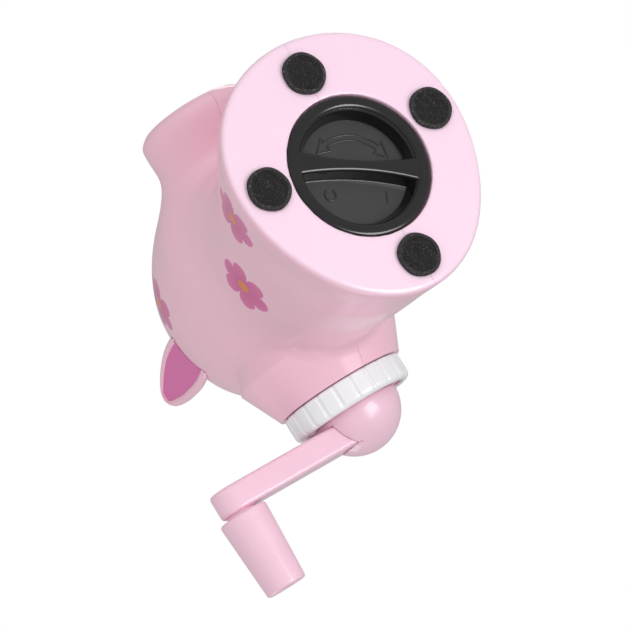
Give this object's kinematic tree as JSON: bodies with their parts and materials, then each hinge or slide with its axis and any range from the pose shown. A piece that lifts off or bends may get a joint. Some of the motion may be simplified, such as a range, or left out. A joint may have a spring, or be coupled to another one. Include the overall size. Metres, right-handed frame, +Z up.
{
  "type": "rotary cheese grater",
  "caption": "Hand-cranked drum grater with an egg-shaped eared plastic body, a drooping outlet snout, a hollow pedestal with foam feet and a twist plug.",
  "frame": {"origin": "on the standing plane (undersides of the foam feet), on the axis of the twist plug", "axes": "+Z up, +X towards the outlet snout, -X towards the crank"},
  "size_m": [0.213, 0.1469, 0.234],
  "materials": {
    "body_pink": "gloss moulded ABS with printed flowers",
    "crank_pink": "gloss moulded ABS",
    "housing_pink": "semi-gloss food-grade plastic",
    "ear_magenta": "satin painted plastic",
    "ring_white": "gloss white plastic",
    "bush_white": "natural acetal",
    "plug_black": "satin black plastic",
    "gasket_rubber": "matte silicone",
    "foot_foam": "sparkly black EVA foam",
    "drum_steel": "satin stainless sheet",
    "bright_steel": "turned stainless",
    "dowel_plastic": "moulded pin"
  },
  "bodies": {
    "body": {"left_body_shell": "body_pink", "right_body_shell": "body_pink", "joint_dowels": "dowel_plastic", "left_ear": "body_pink", "right_ear": "body_pink", "left_ear_lining": "ear_magenta", "right_ear_lining": "ear_magenta", "drum_housing": "housing_pink", "cover_plate": "housing_pink", "shaft_bush": "bush_white", "front_foot_pad": "foot_foam", "rear_foot_pad": "foot_foam", "left_foot_pad": "foot_foam", "right_foot_pad": "foot_foam"},
    "ring": {"locking_ring": "ring_white"},
    "crank": {"drive_shaft": "bright_steel", "drum_hub": "crank_pink", "grating_drum": "drum_steel", "drum_rim": "crank_pink", "crank_arm": "crank_pink", "crank_dome": "crank_pink", "crank_screw": "bright_steel", "grip_pin": "bright_steel", "grip_washer": "ring_white"},
    "grip": {"crank_grip": "crank_pink"},
    "plug": {"base_plug": "plug_black", "plug_gasket": "gasket_rubber"},
    "pusher": {"food_pusher": "crank_pink", "pusher_cap": "body_pink"}
  },
  "joints": [
    {"name": "crank_spin", "type": "hinge", "parent": "body", "child": "crank", "pos_m": [-0.08, 0, 0.131], "axis": [1, 0, 0], "continuous": true},
    {"name": "grip_spin", "type": "hinge", "parent": "crank", "child": "grip", "pos_m": [-0.1, -0.0765, 0.131], "axis": [1, 0, 0], "continuous": true},
    {"name": "ring_twist", "type": "hinge", "parent": "body", "child": "ring", "pos_m": [-0.07, 0, 0.131], "axis": [-1, 0, 0], "range_deg": [0, 45]},
    {"name": "pusher_slide", "type": "slide", "parent": "body", "child": "pusher", "axis": [0, 0, 1], "range_m": [0, 0.055]},
    {"name": "plug_twist", "type": "hinge", "parent": "body", "child": "plug", "pos_m": [0, 0, 0.0025], "axis": [0, 0, -1], "range_deg": [0, 50]}
  ]
}
